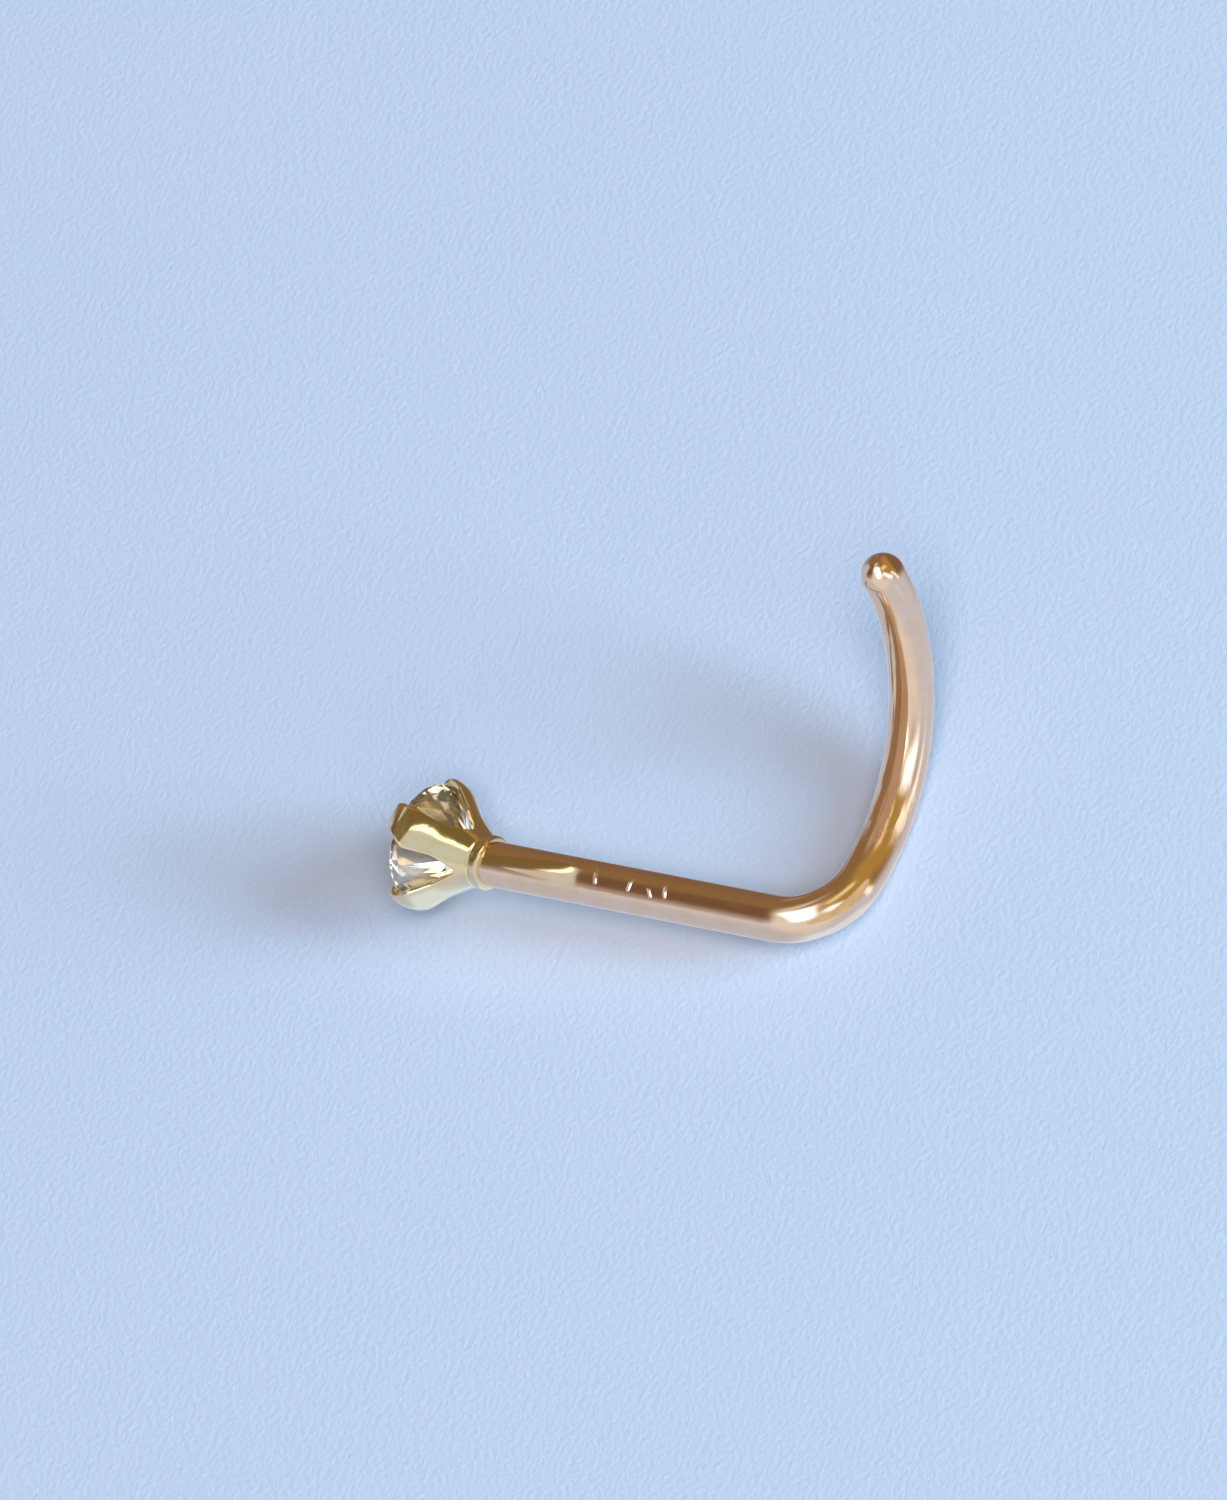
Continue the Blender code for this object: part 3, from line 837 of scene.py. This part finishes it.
# The pale tent that the stone sees: the scale of its brown, pale and bright parts per millimetre,
# and the noise values between which each passes into the next.
TENT_RADIUS = 14.0
TENT_STEPS = (25, 48)
TENT_NOISE_SCALE = 0.22
TENT_NOISE_DETAIL = 0.5
TENT_PALE_STEP = (0.40, 0.46)
TENT_BRIGHT_STEP = (0.56, 0.60)
TENT_COLOURS = ((0.34, 0.22, 0.09), (1.00, 1.03, 0.92), (2.6, 2.6, 2.5))
# its patches: name, middle, half width, half height, softness, turn, colour
TENT_PATCHES = (
    ("side_lamp", (0.95, 0.20, -0.12), 15.0, 10.0, 3.0, 20.0, (2.1, 2.1, 2.05)),
    ("tan", (0.60, 0.70, 0.12), 22.0, 18.0, 3.0, 0.0, (0.74, 0.57, 0.38)),
    ("low_lamp", (0.20, -0.85, 0.35), 14.0, 12.0, 4.0, 0.0, (3.0, 2.9, 3.0)),
)


def patch_mask(tree, look, middle, half_width, half_height, soft, turn):
    """How far inside a soft rectangle of directions the looked-along one is, from 0 to 1."""
    ahead = Vector(middle).normalized()
    across = Vector((0, 1, 0)).cross(ahead).normalized()
    rise = ahead.cross(across)
    angle = math.radians(turn)
    axes = (
        across * math.cos(angle) + rise * math.sin(angle),
        rise * math.cos(angle) - across * math.sin(angle),
        ahead,
    )
    sizes = (half_width, half_height)
    front = dot_node(tree, look, world_direction(*axes[2]))
    mask = soft_step(tree, front, -PATCH_FRONT, PATCH_FRONT)
    for size, axis in zip(sizes, axes):
        off = math_node(tree, "ABSOLUTE", dot_node(tree, look, world_direction(*axis)), 0.0)
        low = math.sin(math.radians(max(size - soft, 0.0)))
        high = math.sin(math.radians(min(size + soft, 90.0)))
        mask = math_node(tree, "MULTIPLY", mask, soft_step(tree, off, high, low))
    return mask


def mix_colour(tree, mask, first, second):
    """Mixes two colours, each a socket or three numbers, by the mask."""
    mix = tree.nodes.new("ShaderNodeMix")
    mix.data_type = "RGBA"
    tree.links.new(mask, mix.inputs["Factor"])
    for socket, colour in ((mix.inputs[6], first), (mix.inputs[7], second)):
        if isinstance(colour, bpy.types.NodeSocket):
            tree.links.new(colour, socket)
        else:
            socket.default_value = (*colour, 1.0)
    return mix.outputs[2]


def make_wire_card(name, table, colours, part=(0.0, 1.0)):
    """A card beside the wire: a curved strip over the part of the table's turns that it covers."""
    centres, headings, _ = wire_line()
    first = POST_STEPS + BEND_STEPS
    shares = np.linspace(table[0][1], table[-1][1], WIRE_CARD_STEPS[0])
    lows = np.interp(shares, [row[1] for row in table], [row[2] for row in table])
    highs = np.interp(shares, [row[1] for row in table], [row[3] for row in table])
    right, _, towards = (np.array(axis) for axis in camera_axes())
    rows = []
    for share, low, high in zip(shares, lows, highs):
        index = first + round(share * HOOK_STEPS)
        heading = headings[index]
        front = towards - heading * (towards @ heading)
        front /= np.linalg.norm(front)
        side = np.cross(front, heading)
        side /= np.linalg.norm(side) * math.copysign(1, np.cross(front, heading) @ right)
        ends = [low + (high - low) * share_across for share_across in part]
        turns = np.radians(np.linspace(*ends, WIRE_CARD_STEPS[1]))
        ring = np.outer(np.cos(turns), side) + np.outer(np.sin(turns), front)
        rows.append(centres[index] + WIRE_CARD_RADIUS * ring)
    make_card(name, rows, colours)


def make_head_cards():
    """The cards over the setting, side by side: dark, then a bright strip, then pale."""
    right, up, towards = (np.array(axis) for axis in camera_axes())
    ahead, across, rise = (
        right * x + up * y + towards * z
        for x, y, z in (HEAD_CARD_AHEAD, HEAD_CARD_ACROSS, HEAD_CARD_RISE)
    )
    for (name, radius, sides, low, high), (_, *colours) in zip(HEAD_CARDS, HEAD_COLOURS):
        rows = []
        for share in np.linspace(0, 1, HEAD_CARD_STEPS[0]):
            row = []
            for wide in np.linspace(0, 1, HEAD_CARD_STEPS[1]):
                bottom = low[0] + (low[1] - low[0]) * wide
                top = high[0] + (high[1] - high[0]) * wide
                lift = math.tan(math.radians(bottom + (top - bottom) * share))
                reach = math.tan(math.radians(sides[0] + (sides[1] - sides[0]) * wide))
                way = ahead + across * reach + rise * lift
                row.append(np.array(HEAD_MIDDLE) + radius * way / np.linalg.norm(way))
            rows.append(row)
        make_card(name, rows, colours)


def glow_material(name):
    """A material that only glows: its node tree, the place on it and where its colour goes."""
    material = bpy.data.materials.new(name)
    material.use_nodes = True
    tree = material.node_tree
    tree.nodes.clear()
    where = stored_value(tree, "place").outputs["Vector"]
    glow = node(tree, "ShaderNodeEmission")
    out = tree.nodes.new("ShaderNodeOutputMaterial")
    tree.links.new(glow.outputs[0], out.inputs["Surface"])
    return material, tree, where, glow.inputs["Color"]


def make_card(name, rows, colours):
    """A coloured card in the studio, which reflections alone meet."""
    maker = MeshMaker()
    maker.grid(rows)
    card = maker.make(name, rest_matrix())
    material, tree, where, paint = glow_material(name + "_paint")
    noise = node(tree, "ShaderNodeTexNoise", Vector=where, Scale=CARD_CLOUD_SCALE, Detail=3.0)
    tree.links.new(mix_colour(tree, noise.outputs["Fac"], *colours), paint)
    card.data.materials.append(material)
    card.visible_camera = False
    card.visible_diffuse = False
    card.visible_transmission = False
    card.visible_shadow = False


def make_stone_tent():
    """A pale ball round the stone, which only light that leaves the stone meets."""
    middle = np.array(HEAD_MIDDLE)
    rows = []
    for high in np.linspace(-math.pi / 2, math.pi / 2, TENT_STEPS[0]):
        turns = np.linspace(0, math.tau, TENT_STEPS[1], endpoint=False)
        level = math.cos(high) * np.column_stack([np.cos(turns), np.sin(turns), turns * 0])
        rows.append(middle + TENT_RADIUS * (level + (0, 0, math.sin(high))))
    maker = MeshMaker()
    maker.grid(rows, closed=True)
    tent = maker.make("stone_tent", rest_matrix())
    material, tree, where, paint = glow_material("tent_cloth")
    noise = node(tree, "ShaderNodeTexNoise", Vector=where, Scale=TENT_NOISE_SCALE)
    noise.inputs["Detail"].default_value = TENT_NOISE_DETAIL
    pale = soft_step(tree, noise.outputs["Fac"], *TENT_PALE_STEP)
    bright = soft_step(tree, noise.outputs["Fac"], *TENT_BRIGHT_STEP)
    colour = mix_colour(tree, pale, TENT_COLOURS[0], TENT_COLOURS[1])
    colour = mix_colour(tree, bright, colour, TENT_COLOURS[2])
    spot = tree.nodes.new("ShaderNodeNewGeometry").outputs["Position"]
    look = node(tree, "ShaderNodeVectorMath")
    look.operation = "SUBTRACT"
    tree.links.new(spot, look.inputs[0])
    look.inputs[1].default_value = rest_matrix() @ (Vector(HEAD_MIDDLE) * MM)
    unit = node(tree, "ShaderNodeVectorMath")
    unit.operation = "NORMALIZE"
    tree.links.new(look.outputs[0], unit.inputs[0])
    for _, ahead, width, height, soft, turn, tint in TENT_PATCHES:
        mask = patch_mask(tree, unit.outputs[0], ahead, width, height, soft, turn)
        colour = mix_colour(tree, mask, colour, tint)
    tree.links.new(colour, paint)
    tent.data.materials.append(material)
    tent.visible_camera = False
    tent.visible_diffuse = False
    tent.visible_glossy = False
    tent.visible_shadow = False


def make_world():
    """The surroundings that the gold and the stone mirror, which light nothing else."""
    world = bpy.data.worlds.new("studio")
    bpy.context.scene.world = world
    world.use_nodes = True
    tree = world.node_tree
    tree.nodes.clear()
    out = tree.nodes.new("ShaderNodeOutputWorld")
    look = tree.nodes.new("ShaderNodeTexCoord").outputs["Generated"]
    upper = soft_step(tree, dot_node(tree, look, world_direction(*CARD_UP)), -CARD_EDGE, CARD_EDGE)
    colour = mix_colour(tree, upper, CARD_COLOUR, ROOM_COLOUR)
    for _, middle, width, height, soft, turn, tint in PATCHES:
        mask = patch_mask(tree, look, middle, width, height, soft, turn)
        colour = mix_colour(tree, mask, colour, tint)
    world.cycles_visibility.diffuse = False
    back = node(tree, "ShaderNodeBackground", Color=colour)
    tree.links.new(back.outputs[0], out.inputs["Surface"])


# Soft lamps, a long way off: name, direction in the image, width in millimetres, power, colour.
LIGHT_DISTANCE = 1200.0
COOL = (0.74, 1.04, 1.20)
WARM = (1.192, 0.970, 0.852)
LIGHTS = (
    ("camera_side", (-0.06, 0.07, 0.995), 690.0, 9.0, WARM),
    ("low_front", (0.30, -0.30, 0.905), 870.0, 3.2, COOL),
    ("low_right", (0.72, 0.03, 0.69), 400.0, 8.7, COOL),
    ("overhead", (-0.466, 0.454, 0.759), 2000.0, 1.2, WARM),
    ("key", (0.62, 0.26, 0.74), 480.0, 7.7, COOL),
)


def make_area_light(name, direction, size, power, colour):
    """A round lamp that lights the floor and the stone's film, and shows in no reflection."""
    data = bpy.data.lights.new(name, "AREA")
    data.shape = "DISK"
    data.size = size * MM
    data.energy = power
    data.color = colour
    light = bpy.data.objects.new(name, data)
    light.location = direction * LIGHT_DISTANCE * MM
    light.rotation_mode = "QUATERNION"
    light.rotation_quaternion = direction.to_track_quat("Z", "Y")
    light.visible_glossy = False
    light.visible_transmission = False
    light.visible_camera = False
    bpy.context.scene.collection.objects.link(light)


def make_camera():
    """A long lens at the photograph's angle, with its frame laid over the stud as there."""
    right, up, towards = camera_axes()
    offset_x = (PHOTO_SIZE_PX[0] / 2 - PHOTO_ORIGIN_PX[0]) / PHOTO_PX_PER_MM
    offset_y = (PHOTO_ORIGIN_PX[1] - PHOTO_SIZE_PX[1] / 2) / PHOTO_PX_PER_MM
    aim = right * offset_x + up * offset_y
    place = rest_matrix()
    data = bpy.data.cameras.new("photo_camera")
    data.sensor_fit = "AUTO"
    data.sensor_width = SENSOR_WIDTH
    tall = PHOTO_SIZE_PX[1] / PHOTO_PX_PER_MM
    data.lens = SENSOR_WIDTH * CAMERA_DISTANCE / tall
    data.clip_start, data.clip_end = (distance * MM for distance in CAMERA_CLIP)
    camera = bpy.data.objects.new("photo_camera", data)
    turn = place.to_3x3() @ Matrix((right, up, towards)).transposed()
    spot = place @ ((aim + towards * CAMERA_DISTANCE) * MM)
    camera.matrix_world = Matrix.Translation(spot) @ turn.to_4x4()
    bpy.context.scene.collection.objects.link(camera)
    bpy.context.scene.camera = camera


wire = make_wire()
setting = make_setting()
wire_gold = gold_material("wire_gold", WIRE_COLOURS, WIRE_STRETCH, WIRE_SCUFFS, WIRE_NICKS)
wire.data.materials.append(wire_gold)
setting_gold = gold_material("setting_gold", SETTING_COLOURS, SETTING_STRETCH, (), ())
setting.data.materials.append(setting_gold)
for piece in (wire, setting):
    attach(piece, "root")
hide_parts("gold_stud")
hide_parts("gold_stud")

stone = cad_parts["stone"]
stone.data.materials.clear()
stone.data.materials.append(stone_material())

make_floor()
make_world()
make_wire_card("hook_card", HOOK_CARD, HOOK_CARD_COLOURS, (0.0, HOOK_CARD_SPLIT))
make_wire_card("hook_card_left", HOOK_CARD, HOOK_CARD_LEFT_COLOURS, (HOOK_CARD_SPLIT, 1.0))
make_wire_card("bend_card", BEND_CARD, BEND_CARD_COLOURS)
make_head_cards()
make_stone_tent()
for name, direction, size, power, colour in LIGHTS:
    make_area_light(name, world_direction(*direction), size, power, colour)
make_camera()

bpy.context.scene.view_settings.view_transform = "Standard"
